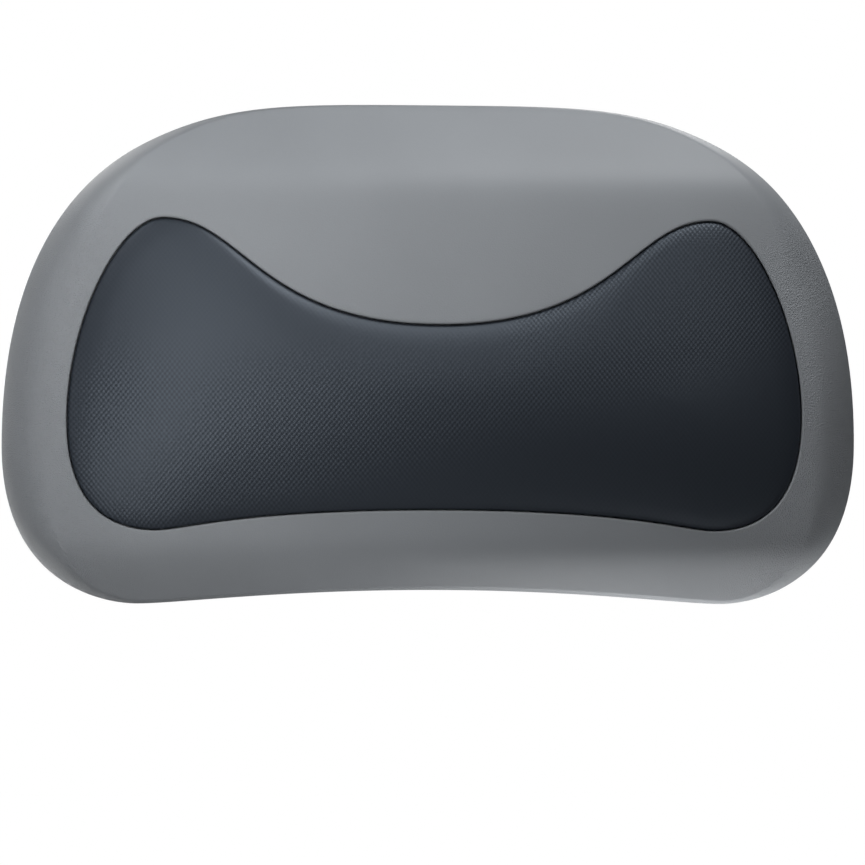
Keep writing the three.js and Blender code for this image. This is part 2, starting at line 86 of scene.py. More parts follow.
# Cover
COVER_WALL = 2
LIP_RADIUS = 0.8
RECESS_DEPTH = 8
RECESS_FLANGE = 6
RETURN_LIP = 12

# Pad
PAD_GROOVE = 0.5
PAD_SKIN = 1.6
PAD_ROLL = 10
PAD_DROP = 1.3
PAD_CROWN = 6
PAD_SPINE_Y = -16
PAD_SPINE_REACH = 0.6

# Back panel, carrier and screws. A place is one of the outline's curves and a share of the way along it.
PANEL_THICKNESS = 3
PANEL_REVEAL = 2
PANEL_BEVEL = 0.8
PANEL_GROOVE_INSET = 6
PANEL_GROOVE_WIDTH = 1.4
PANEL_GROOVE_DEPTH = 0.5
CARRIER_THICKNESS = 4
BOSS_RADIUS = 4.5
BOSS_HEIGHT = 6
SCREW_RADIUS = 2
SCREW_LENGTH = 12
SCREW_TIP = 1.2
SCREW_HEAD_RADIUS = 3.7
SCREW_HEAD_LAND = 0.4
SCREW_HEAD_HEIGHT = 2.2
SCREW_SINK = 0.2
DRIVE_WIDTH = 1
DRIVE_LENGTH = 4
DRIVE_DEPTH = 1.2
SCREW_LIP_DISTANCE = 7
SCREW_PLACES = [(0, 0.42), (1, 0.86), (3, 0.6)]

# Sockets and suction cups
SOCKET_BORE_RADIUS = 4.3
SOCKET_BARREL_RADIUS = 6
SOCKET_FLANGE_RADIUS = 10
SOCKET_FLANGE_THICKNESS = 1.5
SOCKET_CATCH = 0.9
SOCKET_CATCH_LENGTH = 1.8
SOCKET_SLOT_WIDTH = 1.2
SOCKET_CHAMFER = 0.4
CUP_RADIUS = 22
CUP_RIM_WIDTH = 1.5
CUP_RIM_THICKNESS = 0.9
CUP_DISH_DEPTH = 6.5
CUP_DISH_FULLNESS = 13
CUP_SHOULDER_RADIUS = 14.5
CUP_SHOULDER_HEIGHT = 6.5
CUP_HUB_RADIUS = 7
CUP_HUB_BASE = 9.4
CUP_HUB_HEIGHT = 10.9
CUP_HUB_CHAMFER = 0.5
CUP_STEM_CHAMFER = 0.6
CUP_TAB_WIDTH = 9
CUP_TAB_REACH = 7
CUP_TAB_EASE = 0.3
CUP_EDGE_DISTANCE = 45
CUP_PLACES = {"upper": (1, 0), "lower": (2, 0.62)}

# Heights above the back panel's back face, from the back to the front
COVER_BACK = PANEL_THICKNESS + CLEARANCE
CARRIER_FRONT = COVER_BACK + COVER_WALL + CLEARANCE + CARRIER_THICKNESS
FOAM_BACK = CARRIER_FRONT + CLEARANCE
SOCKET_SEAT = -CLEARANCE
SOCKET_BACK = SOCKET_SEAT - SOCKET_FLANGE_THICKNESS
SUCTION_PLANE = SOCKET_BACK - CLEARANCE - CUP_HUB_HEIGHT
CATCH_BACK = PANEL_THICKNESS + CLEARANCE
SOCKET_FRONT = CATCH_BACK + SOCKET_CATCH_LENGTH

# Where the foam ends on the rounded back edge, in degrees from the outline
FOAM_ANGLE = math.degrees(math.asin((EDGE_HEIGHT - FOAM_BACK) / (EDGE_HEIGHT - COVER_BACK - COVER_WALL)))

# Fineness of the meshes: steps along the outline's four curves, then across the surfaces and round the
# turned pieces. Surfaces that no view shows are coarser.
FINE_STEPS = [56, 40, 48, 48]
PLAIN_STEPS = [28, 20, 24, 24]
RIM_STEPS = 40
ROLL_STEPS = 24
BACK_STEPS = 16
LIP_STEPS = 6
HIDDEN_RIM_STEPS = 20
HIDDEN_ROLL_STEPS = 12
HIDDEN_BACK_STEPS = 4
PAD_RINGS = 48
PAD_ROLL_STEPS = 14
HIDDEN_PAD_RINGS = 24
HIDDEN_PAD_ROLL_STEPS = 8
PLATEAU_RINGS = 12
INNERMOST_SHARE = 0.97
PANEL_BEVEL_STEPS = 4
ROUND_STEPS = 96
SOCKET_HOLE_STEPS = 64
SCREW_STEPS = 48
POCKET_STEPS = 32
CUP_CURVE_STEPS = 18
CUP_RIM_STEPS = 8
CUP_TAB_STEPS = 24

# Limits for cutting and cleaning meshes
CUTTER_MARGIN = 1
DOUBLED_WITHIN = 0.002
COLLAPSED_WITHIN = 0.001
SHARP_ANGLE = 50
CUT_SHARP_ANGLE = 35


# Outlines

def half_outline(knots):
    """The control points of each curve from one knot to the next."""
    def along(knot, distance):
        angle = math.radians(knot.heading)
        return (knot.x + distance * math.cos(angle), knot.y + distance * math.sin(angle))

    return [
        np.array([along(a, 0), along(a, a.ahead), along(b, -b.back), along(b, 0)])
        for a, b in zip(knots, knots[1:])
    ]


def curve_point(control, share):
    """The point at a share of the way along a curve."""
    t = np.asarray(share)[..., None]
    a, b, c, d = control
    return (1 - t) ** 3 * a + 3 * (1 - t) ** 2 * t * b + 3 * (1 - t) * t ** 2 * c + t ** 3 * d


def curve_normal(control, share):
    """The unit normal of a curve. On an outline that runs clockwise it points outwards."""
    t = np.asarray(share)[..., None]
    a, b, c, d = control
    tangent = (1 - t) ** 2 * (b - a) + 2 * (1 - t) * t * (c - b) + t ** 2 * (d - c)
    tangent = tangent / np.linalg.norm(tangent, axis=-1, keepdims=True)
    return np.stack([-tangent[..., 1], tangent[..., 0]], axis=-1)


OUTLINE_CURVES = half_outline(OUTLINE_KNOTS)
RECESS_CURVES = half_outline(RECESS_KNOTS)

# Stations round the pillow: the outline's edge and outward normal, the recess's edge, and the direction
# and the distance from the recess's edge to the outline
Stations = namedtuple("Stations", "edge normal recess ray rim")


def make_stations(steps):
    """Stations round the whole pillow, with the given steps along each curve of its right half."""
    shares = [np.linspace(0, 1, count + 1)[:-1] for count in steps]
    shares[-1] = np.append(shares[-1], 1.0)

    def whole(value_at, curves):
        right = np.concatenate([value_at(curve, share) for curve, share in zip(curves, shares)])
        return np.concatenate([right, right[-2:0:-1] * [-1, 1]])

    edge = whole(curve_point, OUTLINE_CURVES)
    normal = whole(curve_normal, OUTLINE_CURVES)
    recess = whole(curve_point, RECESS_CURVES)
    rim = np.linalg.norm(edge - recess, axis=1)
    ray = (edge - recess) / rim[:, None]
    return Stations(edge, normal, recess, ray, rim)


def on_ray(stations, distance):
    """Points at a distance from the recess's edge towards the outline."""
    return stations.recess + stations.ray * np.reshape(distance, (-1, 1))


def inset_from(stations, distance):
    """Points at a distance inside the outline."""
    return stations.edge - stations.normal * np.reshape(distance, (-1, 1))


def both_sides(places, inset):
    """Points set in from the outline at the given places, each with its mirror image first."""
    points = []
    for curve, share in places:
        control = OUTLINE_CURVES[curve]
        x, y = curve_point(control, share) - curve_normal(control, share) * inset
        points += [(-x, y), (x, y)]
    return points


FINE = make_stations(FINE_STEPS)
PLAIN = make_stations(PLAIN_STEPS)
SCREW_POINTS = both_sides(SCREW_PLACES, BACK_ROLL + RETURN_LIP + SCREW_LIP_DISTANCE)
CUP_POINTS = both_sides(CUP_PLACES.values(), CUP_EDGE_DISTANCE)


# Surfaces

def slope_of(degrees):
    return math.tan(math.radians(degrees))


def bevelled(past):
    """Nothing before a bevel's line and the distance past it after, with a soft turn between."""
    return BEVEL_SOFTNESS * np.logaddexp(0, past / BEVEL_SOFTNESS)


def front_height(points):
    """The front of the pillow: a low crown that is bevelled along its top and its bottom."""
    x, y = points[:, 0], points[:, 1]
    across = x ** 2 / (2 * CROWN_RADIUS_ACROSS)
    down = np.maximum(0, CROWN_Y - y) ** 2 / (2 * CROWN_RADIUS_DOWN)
    top = bevelled(y - (TOP_Y - TOP_BEVEL)) * slope_of(TOP_BEVEL_ANGLE)
    bottom = bevelled(BOTTOM_Y + BOTTOM_BEVEL - y) * slope_of(BOTTOM_BEVEL_ANGLE)
    return CROWN_HEIGHT - across - down - top - bottom


def floor_height(points):
    """The floor of the recess."""
    return front_height(points) - RECESS_DEPTH


def seat_height(points):
    """The underside of the pad, just clear of the recess's floor."""
    return floor_height(points) + CLEARANCE


def raised(points, height):
    """Flat points lifted to a height, or each to its own height."""
    return np.column_stack([points, np.broadcast_to(height, len(points))])


def level_ring(points, height_at, drop=0):
    return raised(points, height_at(points) - drop)


def rim_rings(stations, depth, start, front_steps, roll_steps):
    """The rim, sunk by depth: along the crowned front to the rounded edge, and then round that edge."""
    run = stations.rim - depth - start
    wanted = EDGE_ROLL_ENDS + (EDGE_ROLL_SIDES - EDGE_ROLL_ENDS) * stations.normal[:, 0] ** 2
    roll = np.minimum(wanted, run - EDGE_LAND)
    rings = []
    for share in np.linspace(0, 1, front_steps, endpoint=False):
        points = on_ray(stations, start + share * (run - roll))
        rings.append(level_ring(points, front_height, depth))
    for angle in np.radians(np.linspace(90, 0, roll_steps + 1)):
        points = on_ray(stations, stations.rim - depth - roll * (1 - np.cos(angle)))
        height = front_height(points) - depth - EDGE_HEIGHT
        rings.append(raised(points, EDGE_HEIGHT + height * np.sin(angle)))
    return rings


def back_rings(stations, depth, angles):
    """The rounded back edge, sunk by depth, at angles from the outline to the back."""
    sunk = min(depth, COVER_WALL)
    rings = []
    for angle in np.radians(angles):
        inset = depth + (BACK_ROLL - sunk) * (1 - np.cos(angle))
        height = EDGE_HEIGHT - (EDGE_HEIGHT - COVER_BACK - sunk) * np.sin(angle)
        rings.append(raised(inset_from(stations, inset), height))
    return rings


def lip_rings(stations):
    """The round corner where the rim turns down into the recess."""
    rings = []
    for angle in np.linspace(0, math.pi / 2, LIP_STEPS, endpoint=False):
        points = on_ray(stations, LIP_RADIUS * (1 - math.cos(angle)))
        rings.append(level_ring(points, front_height, LIP_RADIUS * (1 - math.sin(angle))))
    return rings


def recess_points(stations, reach, share):
    """Points inside the recess, by their share of the way from the given reach to the spine."""
    spine_x = stations.recess[:, 0] * PAD_SPINE_REACH
    spine = np.column_stack([spine_x, np.full(len(spine_x), PAD_SPINE_Y)])
    share = np.reshape(share, (-1, 1))
    return on_ray(stations, reach) * (1 - share) + spine * share


def plateau_rings(stations, height_at):
    """A surface within the recess's flange, from the spine outwards."""
    reach = -RECESS_FLANGE - CLEARANCE
    shares = np.linspace(INNERMOST_SHARE, 0, PLATEAU_RINGS)
    return [level_ring(recess_points(stations, reach, share), height_at) for share in shares]


def pad_top_rings(stations, depth, crown_rings, roll_steps):
    """The pad's outer surface, sunk by depth: from its spine over the crown, then down its rolled edge."""
    reach = -PAD_GROOVE - depth
    to_spine = recess_points(stations, reach, 1) - recess_points(stations, reach, 0)
    roll = PAD_ROLL / np.linalg.norm(to_spine, axis=1)

    def ring(share, drop):
        points = recess_points(stations, reach, share)
        crown = PAD_CROWN * (1 - (1 - share) ** 2)
        return raised(points, front_height(points) + crown - drop - depth)

    rings = [ring(roll + (1 - roll) * share, 0) for share in np.linspace(INNERMOST_SHARE, 0, crown_rings)]
    for angle in np.linspace(math.pi / 2, 0, roll_steps + 1)[1:]:
        rings.append(ring(roll * (1 - math.cos(angle)), PAD_DROP * (1 - math.sin(angle))))
    return rings


# Meshes

def stand_up(points):
    """From the lying millimetres to the frame's metres: the front turns to -Y, and up the pillow is +Z."""
    x, y, z = np.asarray(points, float).T
    return np.column_stack([x, SUCTION_PLANE - z, y]) * MM


def placed(name, data):
    """A new object in the scene."""
    thing = bpy.data.objects.new(name, data)
    bpy.context.scene.collection.objects.link(thing)
    return thing


def cleaned(piece, sharp_angle):
    """Merges doubled points, turns all faces outwards and smooths all but the sharp edges."""
    body = bmesh.new()
    body.from_mesh(piece.data)
    bmesh.ops.remove_doubles(body, verts=body.verts, dist=DOUBLED_WITHIN * MM)
    bmesh.ops.dissolve_degenerate(body, edges=body.edges, dist=COLLAPSED_WITHIN * MM)
    bmesh.ops.recalc_face_normals(body, faces=body.faces)
    body.to_mesh(piece.data)
    body.free()
    piece.data.shade_smooth()
    piece.data.set_sharp_from_angle(angle=math.radians(sharp_angle))
    return piece


def new_piece(name, points, faces):
    mesh = bpy.data.meshes.new(name)
    mesh.from_pydata(stand_up(points).tolist(), [], faces)
    return cleaned(placed(name, mesh), SHARP_ANGLE)


def band_faces(rings, count, looped):
    """Faces between each ring and the next, and from the last to the first where the rings are looped."""
    faces = []
    for band in range(rings if looped else rings - 1):
        here = band * count
        ahead = (band + 1) % rings * count
        for i in range(count):
            j = (i + 1) % count
            faces.append((here + i, here + j, ahead + j, ahead + i))
    return faces


def cap_faces(start, count):
    """Faces that close a ring which starts at its top: each point above is paired with the one below it."""
    half = count // 2
    faces = []
    for i in range(-half // 2, half // 2):
        around = [i, half - i, half - i - 1, i + 1]
        faces.append(list(dict.fromkeys(start + k % count for k in around)))
    return faces


def ring_piece(name, rings, looped):
    """A piece whose skin runs from ring to ring. It closes on itself or has a cap at both ends."""
    count = len(rings[0])
    faces = band_faces(len(rings), count, looped)
    if not looped:
        faces += cap_faces(0, count)
        faces += [face[::-1] for face in cap_faces((len(rings) - 1) * count, count)]
    return new_piece(name, np.concatenate(rings), faces)


def round_rings(profile, centre, steps):
    """Rings about a line along z. The profile's pairs are a radius and a height."""
    angles = np.arange(steps) * 2 * math.pi / steps
    circle = np.column_stack([np.cos(angles), np.sin(angles)])
    return [raised(circle * radius + centre, height) for radius, height in profile]


def turned(name, profile, centre, steps=ROUND_STEPS):
    """A turned piece about a line along z. Its profile closes on itself."""
    rings = round_rings(profile, centre, steps)
    return new_piece(name, np.concatenate(rings), band_faces(len(rings), steps, True))


def walled_plate(name, walls):
    """A flat plate from its walls. Each wall's first ring borders the back, and its last the front."""
    body = bmesh.new()
    backs, fronts = [], []
    for rings in walls:
        rows = [[body.verts.new(point) for point in stand_up(ring)] for ring in rings]
        for low, high in zip(rows, rows[1:]):
            for i in range(len(low)):
                j = (i + 1) % len(low)
                body.faces.new((low[i], low[j], high[j], high[i]))
        for row, borders in ((rows[0], backs), (rows[-1], fronts)):
            borders += [body.edges.get((row[i - 1], row[i])) for i in range(len(row))]
    for borders in (backs, fronts):
        bmesh.ops.triangle_fill(body, edges=borders, use_beauty=True)
    mesh = bpy.data.meshes.new(name)
    body.to_mesh(mesh)
    body.free()
    return cleaned(placed(name, mesh), CUT_SHARP_ANGLE)


def block(name, centre, width, length, low, high):
    x, y = centre
    corners = [
        (x + i * width / 2, y + j * length / 2, z)
        for z in (low, high) for i in (-1, 1) for j in (-1, 1)
    ]
    faces = [(0, 1, 3, 2), (4, 5, 7, 6), (0, 1, 5, 4), (2, 3, 7, 6), (0, 2, 6, 4), (1, 3, 7, 5)]
    return new_piece(name, corners, faces)


def crossed_blocks(name, centre, length, width, low, high):
    """Two bars that cross at their middles."""
    return [block(name, centre, *size, low, high) for size in ((length, width), (width, length))]


def combine(piece, others, operation):
    """Cuts the others out of a piece or joins them to it."""
    for other in others:
        modifier = piece.modifiers.new("combine", "BOOLEAN")
        modifier.operation = operation
        modifier.object = other
    graph = bpy.context.evaluated_depsgraph_get()
    mesh = bpy.data.meshes.new_from_object(piece.evaluated_get(graph))
    piece.modifiers.clear()
    piece.data = mesh
    for other in others:
        bpy.data.objects.remove(other)
    return cleaned(piece, CUT_SHARP_ANGLE)


# Soft pieces

def outer_cover():
    """A thin shell: its outside from the recess round to the return lip, and its inside all the way back."""
    flange_edge = on_ray(FINE, -RECESS_FLANGE)
    back_edge = inset_from(FINE, BACK_ROLL + RETURN_LIP)
    outside = [
        level_ring(flange_edge, floor_height),
        level_ring(on_ray(FINE, 0), floor_height),
        *lip_rings(FINE),
        *rim_rings(FINE, 0, LIP_RADIUS, RIM_STEPS, ROLL_STEPS),
        *back_rings(FINE, 0, np.linspace(0, 90, BACK_STEPS + 1)[1:]),
        raised(back_edge, COVER_BACK),
    ]
    inside = [
        raised(back_edge, COVER_BACK + COVER_WALL),
        *back_rings(FINE, COVER_WALL, np.linspace(90, FOAM_ANGLE, HIDDEN_BACK_STEPS + 1)),
        *reversed(rim_rings(FINE, COVER_WALL, COVER_WALL, HIDDEN_RIM_STEPS, HIDDEN_ROLL_STEPS)),
        level_ring(on_ray(FINE, COVER_WALL), floor_height, COVER_WALL),
        level_ring(flange_edge, floor_height, COVER_WALL),
    ]
    return ring_piece("pillow_cover", outside + inside, True)


def boss_pocket(point):
    radius = BOSS_RADIUS + CLEARANCE
    low = FOAM_BACK - CUTTER_MARGIN
    high = CARRIER_FRONT + BOSS_HEIGHT + CLEARANCE
    return turned("pocket", [(0, low), (radius, low), (radius, high), (0, high)], point, POCKET_STEPS)


def foam_core():
    """The filling under the cover, with pockets in its back for the carrier's bosses."""
    depth = COVER_WALL + CLEARANCE
    under_flange = recess_points(PLAIN, -RECESS_FLANGE - CLEARANCE, 0)
    core = ring_piece("pillow_foam", [
        *plateau_rings(PLAIN, floor_height),
        level_ring(under_flange, floor_height, depth),
        level_ring(on_ray(PLAIN, depth), floor_height, depth),
        *rim_rings(PLAIN, depth, depth, HIDDEN_RIM_STEPS, HIDDEN_ROLL_STEPS),
        *back_rings(PLAIN, depth, [FOAM_ANGLE]),
    ], False)
    return combine(core, [boss_pocket(point) for point in SCREW_POINTS], "DIFFERENCE")


def pad_skin():
    """The pad's skin, open at its seat."""
    outer = pad_top_rings(FINE, 0, PAD_RINGS, PAD_ROLL_STEPS)
    inner = pad_top_rings(FINE, PAD_SKIN, HIDDEN_PAD_RINGS, HIDDEN_PAD_ROLL_STEPS)
    seat = [
        level_ring(recess_points(FINE, reach, 0), seat_height)
        for reach in (-PAD_GROOVE, -PAD_GROOVE - PAD_SKIN)
    ]
    return ring_piece("woven_pad", outer + seat + inner[::-1], False)


def pad_foam():
    """The filling under the pad's skin."""
    depth = PAD_SKIN + CLEARANCE
    return ring_piece("pad_filling", [
        *pad_top_rings(PLAIN, depth, HIDDEN_PAD_RINGS, HIDDEN_PAD_ROLL_STEPS),
        level_ring(recess_points(PLAIN, -PAD_GROOVE - depth, 0), seat_height),
        *reversed(plateau_rings(PLAIN, seat_height)),
    ], False)


# Rigid pieces

def panel_border():
    """Pairs of an inset and a height, from the groove in the panel's back round its edge to its front."""
    edge = BACK_ROLL + PANEL_REVEAL
    groove = edge + PANEL_GROOVE_INSET
    border = [
        (groove + PANEL_GROOVE_WIDTH, 0),
        (groove + PANEL_GROOVE_WIDTH / 2, PANEL_GROOVE_DEPTH),
        (groove, 0),
    ]
    angles = np.linspace(0, math.pi / 2, PANEL_BEVEL_STEPS + 1)
    for a in angles:
        border.append((edge + PANEL_BEVEL * (1 - math.sin(a)), PANEL_BEVEL * (1 - math.cos(a))))
    for a in angles:
        height = PANEL_THICKNESS - PANEL_BEVEL * (1 - math.sin(a))
        border.append((edge + PANEL_BEVEL * (1 - math.cos(a)), height))
    return border


def back_panel():
    """A plate with rounded edges, a shallow groove round its back, socket holes and countersunk holes."""
    barrel = SOCKET_BARREL_RADIUS + CLEARANCE
    shank = SCREW_RADIUS + CLEARANCE
    head = SCREW_HEAD_RADIUS + CLEARANCE
    socket_hole = [(barrel, 0), (barrel, PANEL_THICKNESS)]
    screw_hole = [
        (head, 0),
        (head, SCREW_SINK + SCREW_HEAD_LAND),
        (shank, SCREW_SINK + SCREW_HEAD_HEIGHT),
        (shank, PANEL_THICKNESS),
    ]
    walls = [[raised(inset_from(FINE, inset), height) for inset, height in panel_border()]]
    walls += [round_rings(socket_hole, point, SOCKET_HOLE_STEPS) for point in CUP_POINTS]
    walls += [round_rings(screw_hole, point, SCREW_STEPS) for point in SCREW_POINTS]
    return walled_plate("rear_panel", walls)


def panel_screw(name, point):
    """A countersunk screw with a cross recess in its head."""
    end = SCREW_SINK + SCREW_LENGTH
    edge = SCREW_HEAD_LAND / 2
    screw = turned(name, [
        (0, SCREW_SINK),
        (SCREW_HEAD_RADIUS - edge, SCREW_SINK),
        (SCREW_HEAD_RADIUS, SCREW_SINK + edge),
        (SCREW_HEAD_RADIUS, SCREW_SINK + SCREW_HEAD_LAND),
        (SCREW_RADIUS, SCREW_SINK + SCREW_HEAD_HEIGHT),
        (SCREW_RADIUS, end - SCREW_TIP),
        (0, end),
    ], point, SCREW_STEPS)
    low = SCREW_SINK - CUTTER_MARGIN
    high = SCREW_SINK + DRIVE_DEPTH
    return combine(screw, crossed_blocks("drive", point, DRIVE_LENGTH, DRIVE_WIDTH, low, high), "DIFFERENCE")


def cup_socket(name, point):
    """A flanged barrel that snaps into the panel, with a catch that two slots let spring."""
    catch = SOCKET_BARREL_RADIUS + SOCKET_CATCH
    bevel = SOCKET_CHAMFER
    barrel = turned(name, [
        (SOCKET_BORE_RADIUS, SOCKET_BACK + bevel),
        (SOCKET_BORE_RADIUS + bevel, SOCKET_BACK),
        (SOCKET_FLANGE_RADIUS - bevel, SOCKET_BACK),
        (SOCKET_FLANGE_RADIUS, SOCKET_BACK + bevel),
        (SOCKET_FLANGE_RADIUS, SOCKET_SEAT),
        (SOCKET_BARREL_RADIUS, SOCKET_SEAT),
        (SOCKET_BARREL_RADIUS, CATCH_BACK),
        (catch, CATCH_BACK),
        (SOCKET_BARREL_RADIUS, SOCKET_FRONT),
        (SOCKET_BORE_RADIUS, SOCKET_FRONT),
    ], point)
    length = 2 * catch + CUTTER_MARGIN
    high = SOCKET_FRONT + CUTTER_MARGIN
    return combine(barrel, crossed_blocks("slot", point, length, SOCKET_SLOT_WIDTH, 0, high), "DIFFERENCE")


def bent_curve(start, towards, end):
    """A curve that leaves its start towards a point and reaches its end from that point."""
    t = np.linspace(0, 1, CUP_CURVE_STEPS + 1)[:, None]
    a, b, c = np.array(start), np.array(towards), np.array(end)
    return ((1 - t) ** 2 * a + 2 * (1 - t) * t * b + t ** 2 * c).tolist()


def suction_cup(name, point):
    """A cup with a dished lip, a hub, a stem for its socket and a finger tab."""
    half_rim = CUP_RIM_THICKNESS / 2
    rim_centre = CUP_RADIUS - half_rim
    stem = SOCKET_BORE_RADIUS - CLEARANCE
    top = SOCKET_FRONT - CLEARANCE - SUCTION_PLANE
    dish_edge = (CUP_RADIUS - CUP_RIM_WIDTH, 0)
    shoulder = (CUP_SHOULDER_RADIUS, CUP_SHOULDER_HEIGHT)
    hub = (CUP_HUB_RADIUS, CUP_HUB_BASE)
    profile = [
        *bent_curve((0, CUP_DISH_DEPTH), (CUP_DISH_FULLNESS, CUP_DISH_DEPTH), dish_edge),
        *[(rim_centre + half_rim * math.cos(a), half_rim + half_rim * math.sin(a))
          for a in np.linspace(-math.pi / 2, math.pi / 2, CUP_RIM_STEPS + 1)],
        *bent_curve((rim_centre, CUP_RIM_THICKNESS), shoulder, hub)[1:],
        (CUP_HUB_RADIUS, CUP_HUB_HEIGHT - CUP_HUB_CHAMFER),
        (CUP_HUB_RADIUS - CUP_HUB_CHAMFER, CUP_HUB_HEIGHT),
        (stem, CUP_HUB_HEIGHT),
        (stem, top - CUP_STEM_CHAMFER),
        (stem - CUP_STEM_CHAMFER, top),
        (0, top),
    ]
    cup = turned(name, [(radius, height + SUCTION_PLANE) for radius, height in profile], point)
    return combine(cup, [cup_tab(point)], "UNION")


def cup_tab(point):
    """The finger tab that hangs from a cup's rim, with its edges eased."""
    half = CUP_TAB_WIDTH / 2
    low = half - CUP_RADIUS - CUP_TAB_REACH
    high = CUP_RIM_WIDTH - CUP_RADIUS
    angles = np.linspace(math.pi, 2 * math.pi, CUP_TAB_STEPS + 1)

    def loop(inset):
        radius = half - inset
        round_end = np.column_stack([np.cos(angles), np.sin(angles)]) * radius + [0, low]
        return np.concatenate([round_end, [(radius, high), (-radius, high)]]) + point

    layers = [
        (CUP_TAB_EASE, 0),
        (0, CUP_TAB_EASE),
        (0, CUP_RIM_THICKNESS - CUP_TAB_EASE),
        (CUP_TAB_EASE, CUP_RIM_THICKNESS),
    ]
    return walled_plate("tab", [[raised(loop(inset), SUCTION_PLANE + height) for inset, height in layers]])


# Material helpers

WHITE = (1, 1, 1, 1)

# The range that most of a noise texture lies in
NOISE_LOW = 0.3
NOISE_HIGH = 0.7


def connect(tree, value, socket):
    if isinstance(value, bpy.types.NodeSocket):
        tree.links.new(value, socket)
    else:
        socket.default_value = value


def wire(tree, node, inputs):
    for socket, value in inputs.items():
        connect(tree, value, node.inputs[socket])


def add(tree, kind, inputs=None, **settings):
    node = tree.nodes.new("ShaderNode" + kind)
    for name, value in settings.items():
        setattr(node, name, value)
    wire(tree, node, inputs or {})
    return node


def calculate(tree, operation, first, second=0.0):
    return add(tree, "Math", {0: first, 1: second}, operation=operation).outputs[0]


def millimetres(tree):
    """The piece's own coordinates, in millimetres."""
    place = add(tree, "TexCoord").outputs["Object"]
    return add(tree, "VectorMath", {0: place, "Scale": 1 / MM}, operation="SCALE").outputs[0]


def noise(tree, place, scale, detail=2.0, roughness=0.5):
    inputs = {"Vector": place, "Scale": scale, "Detail": detail, "Roughness": roughness}
    return add(tree, "TexNoise", inputs).outputs["Fac"]


def cells(tree, place, scale, feature):
    """A pattern of uneven cells, by the distance that the feature names."""
    return add(tree, "TexVoronoi", {"Vector": place, "Scale": scale}, feature=feature).outputs["Distance"]


def spread(tree, value, low, high, lowest=NOISE_LOW, highest=NOISE_HIGH):
    """Maps a value that lies between lowest and highest to between low and high."""
    inputs = {0: value, 1: lowest, 2: highest, 3: low, 4: high}
    return add(tree, "MapRange", inputs).outputs[0]


def blend_colours(tree, share, first, second):
    node = add(tree, "Mix", {0: share, 6: (*first, 1), 7: (*second, 1)}, data_type="RGBA")
    return node.outputs[2]


def bump(tree, height, relief, over=None):
    """A bump of the given relief in millimetres, on top of another bump if one is given."""
    inputs = {"Height": height, "Distance": relief * MM}
    if over is not None:
        inputs["Normal"] = over
    return add(tree, "Bump", inputs).outputs["Normal"]


def glow(tree, unseen, seen):
    """A strength for the light that a surface gives, and another for how bright the camera sees it."""
    direct = add(tree, "LightPath").outputs["Is Camera Ray"]
    return spread(tree, direct, unseen, seen, 0, 1)


def new_material(name, **constants):
    """A material with its shader's constant values set directly on the shader."""
    material = bpy.data.materials.new(name)
    material.use_nodes = True
    shader = material.node_tree.nodes["Principled BSDF"]
    for socket, value in constants.items():
        shader.inputs[socket.replace("_", " ")].default_value = value
    return material, material.node_tree, shader


# Materials

# Reliefs and places are in millimetres, and a scale is a count in each millimetre. A colour goes from dark
# to light with its pattern, and a pair of roughnesses goes from the first to the second.
COVER_IOR = 1.46
# The skin's grey goes between these with a slow random tone and with painted shade in the fine grain's
# valleys.
COVER_DARK = (0.243, 0.258, 0.276)
COVER_LIGHT = (0.272, 0.289, 0.309)
COVER_ROUGHNESS = (0.5, 0.62)
COVER_TONE_SCALE = 0.018
COVER_TONE_SHARE = 0.6
COVER_GRAIN_SCALE = 2.6
COVER_GRAIN_DETAIL = 3.0
COVER_GRAIN_RELIEF = 0.02
PEBBLE_SCALE = 1.15
PEBBLE_EDGE = 0.35
PEBBLE_RELIEF = 0.16
PEBBLE_FAINTEST = 0.12
PEBBLE_SIDE_FADE = (105, 135)
PEBBLE_TOP_FADE = (40, 65)

PAD_SPECULAR = 0.68
PAD_SPECULAR_TINT = (0.76, 0.87, 1, 1)
# The pad's charcoal, painted darker in the weave's hollows and lighter on its thread tops, as shade and
# light.
PAD_DARK = (0.008, 0.010, 0.014)
PAD_LIGHT = (0.032, 0.039, 0.051)
PAD_ROUGHNESS = (0.5, 0.42)
WEAVE_PITCH_ACROSS = 1.84
WEAVE_PITCH_UP = 2.25
WEAVE_RELIEF = 0.11
WEAVE_WANDER_SCALE = 0.15
WEAVE_WANDER_DETAIL = 1.0
WEAVE_FAINTEST = 0.15
WEAVE_LOW_SLOPE = 0.33
WEAVE_LOW_FADE = (-48, -30)
WEAVE_HIGH_SLOPE = 1.5
WEAVE_HIGH_START = 20
WEAVE_HIGH_FADE = (-12, 8)

FOAM_ROUGHNESS = 0.95
FOAM_DARK = (0.66, 0.60, 0.48)
FOAM_LIGHT = (0.76, 0.71, 0.60)
FOAM_TONE_SCALE = 0.05
FOAM_CELL_SCALE = 0.9
FOAM_CELL_RELIEF = 0.4

Plastic = namedtuple("Plastic", "name dark light grain_scale relief roughness")
PANEL_PLASTIC = Plastic("panel_plastic", (0.045, 0.048, 0.051), (0.056, 0.060, 0.064), 2.2, 0.035, 0.52)
CARRIER_PLASTIC = Plastic("carrier_plastic", (0.085, 0.090, 0.095), (0.105, 0.110, 0.115), 1.4, 0.03, 0.6)
SOCKET_PLASTIC = Plastic("socket_plastic", (0.022, 0.023, 0.025), (0.030, 0.031, 0.033), 1.8, 0.02, 0.42)
PLASTIC_TONE_SCALE = 0.03
PLASTIC_GRAIN_DETAIL = 3.0
PLASTIC_GRAIN_ROUGHNESS = 0.6
PLASTIC_SMOOTHER = 0.06
PLASTIC_ROUGHER = 0.08

